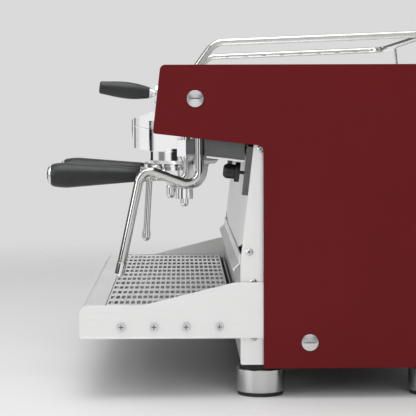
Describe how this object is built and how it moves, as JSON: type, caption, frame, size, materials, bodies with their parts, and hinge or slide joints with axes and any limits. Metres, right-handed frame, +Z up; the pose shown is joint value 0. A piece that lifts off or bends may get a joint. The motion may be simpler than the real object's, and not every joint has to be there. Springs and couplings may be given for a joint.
{
  "type": "espresso machine",
  "caption": "Counter-top commercial espresso machine with lever-worked steam wand, hot water pipe, locking portafilters, slotted drip tray and a cup shelf with a tubular rail.",
  "frame": {"origin": "on the floor, in the middle of the machine's outline", "axes": "+X to the operator's right, along the width; +Y from the front to the rear; +Z up"},
  "size_m": [0.7856, 0.584, 0.4881],
  "materials": {
    "red_paint": "satin",
    "satin_steel": "satin",
    "polished_steel": "polished",
    "chrome": "polished",
    "black_plastic": "matte",
    "dark_paint": "matte",
    "rubber": "matte",
    "copper": "satin",
    "brass": "satin"
  },
  "bodies": {
    "machine": {"base_frame": "dark_paint", "side_frame_left": "satin_steel", "side_frame_right": "satin_steel", "side_panel_left": "red_paint", "side_panel_right": "red_paint", "panel_screws": "polished_steel", "front_fascia": "satin_steel", "head_underside": "dark_paint", "splash_panel": "satin_steel", "splash_deflector": "satin_steel", "lower_front_panel": "satin_steel", "rear_panel": "satin_steel", "cup_tray": "satin_steel", "cup_rail": "polished_steel", "column_brackets": "dark_paint", "tray_basin": "satin_steel", "tray_side_left": "satin_steel", "tray_side_right": "satin_steel", "tray_front_rim": "satin_steel", "case_screws": "polished_steel", "drain_cup": "black_plastic", "foot_sleeves": "chrome", "foot_rubbers": "rubber", "group_body_left": "chrome", "group_body_right": "chrome", "group_covers": "chrome", "group_bells": "chrome", "group_gaskets": "rubber", "shower_screens": "chrome", "steam_valve": "chrome", "steam_wand_nut": "chrome", "water_nut": "chrome", "gauge": "chrome", "boiler": "copper", "heater": "brass", "pump": "dark_paint", "pipework": "copper", "water_inlet": "brass", "cable_gland": "black_plastic"},
    "portafilter_left_unit": {"portafilter_left": "chrome", "handle_left": "black_plastic", "handle_cap_left": "chrome", "filter_basket_left": "chrome", "spout_left": "chrome"},
    "portafilter_right_unit": {"portafilter_right": "chrome", "handle_right": "black_plastic", "handle_cap_right": "chrome", "filter_basket_right": "chrome", "spout_right": "chrome"},
    "steam_lever_unit": {"steam_lever_grip": "black_plastic", "steam_lever_stem": "chrome"},
    "steam_wand_unit": {"steam_wand": "chrome", "steam_tip": "chrome"},
    "water_pipe_unit": {"water_pipe": "chrome"},
    "valve_knob_unit": {"valve_knob": "black_plastic"},
    "brew_button_left_unit": {"brew_button_left": "black_plastic"},
    "brew_button_right_unit": {"brew_button_right": "black_plastic"},
    "power_button_unit": {"power_button": "black_plastic"},
    "gauge_needle_unit": {"gauge_needle": "black_plastic"},
    "tray_grid_unit": {"tray_grid": "satin_steel"}
  },
  "joints": [
    {"name": "portafilter_left_turn", "type": "hinge", "parent": "machine", "child": "portafilter_left_unit", "pos_m": [-0.13, -0.091, 0.31], "axis": [0, 0, 1], "range_deg": [-40, 0]},
    {"name": "portafilter_right_turn", "type": "hinge", "parent": "machine", "child": "portafilter_right_unit", "pos_m": [0.13, -0.091, 0.31], "axis": [0, 0, 1], "range_deg": [-40, 0]},
    {"name": "steam_lever_tilt", "type": "hinge", "parent": "machine", "child": "steam_lever_unit", "pos_m": [0.3, -0.12198, 0.401], "axis": [1, 0, 0], "range_deg": [-18, 18]},
    {"name": "steam_wand_swivel", "type": "hinge", "parent": "machine", "child": "steam_wand_unit", "pos_m": [0.3, -0.0702, 0.35], "axis": [0, 0, 1], "range_deg": [-15, 60]},
    {"name": "water_pipe_swivel", "type": "hinge", "parent": "machine", "child": "water_pipe_unit", "pos_m": [0.23, -0.0888, 0.32], "axis": [0, 0, 1], "range_deg": [-45, 20]},
    {"name": "valve_knob_turn", "type": "hinge", "parent": "machine", "child": "valve_knob_unit", "pos_m": [0.344, -0.00469, 0.295], "axis": [0, -0.9934, 0.1149], "range_deg": [0, 270]},
    {"name": "brew_button_left_press", "type": "slide", "parent": "machine", "child": "brew_button_left_unit", "axis": [0, 0.9934, -0.1149], "range_m": [0, 0.003], "stiffness_N_per_m": 400},
    {"name": "brew_button_right_press", "type": "slide", "parent": "machine", "child": "brew_button_right_unit", "axis": [0, 0.9934, -0.1149], "range_m": [0, 0.003], "stiffness_N_per_m": 400},
    {"name": "power_button_press", "type": "slide", "parent": "machine", "child": "power_button_unit", "axis": [0, 0.9934, -0.1149], "range_m": [0, 0.003], "stiffness_N_per_m": 400},
    {"name": "gauge_needle_turn", "type": "hinge", "parent": "machine", "child": "gauge_needle_unit", "pos_m": [0, -0.12279, 0.394], "axis": [0, -0.9934, 0.1149], "range_deg": [-270, 0]},
    {"name": "tray_grid_lift", "type": "slide", "parent": "machine", "child": "tray_grid_unit", "axis": [0, 0, 1], "range_m": [0, 0.025]}
  ]
}
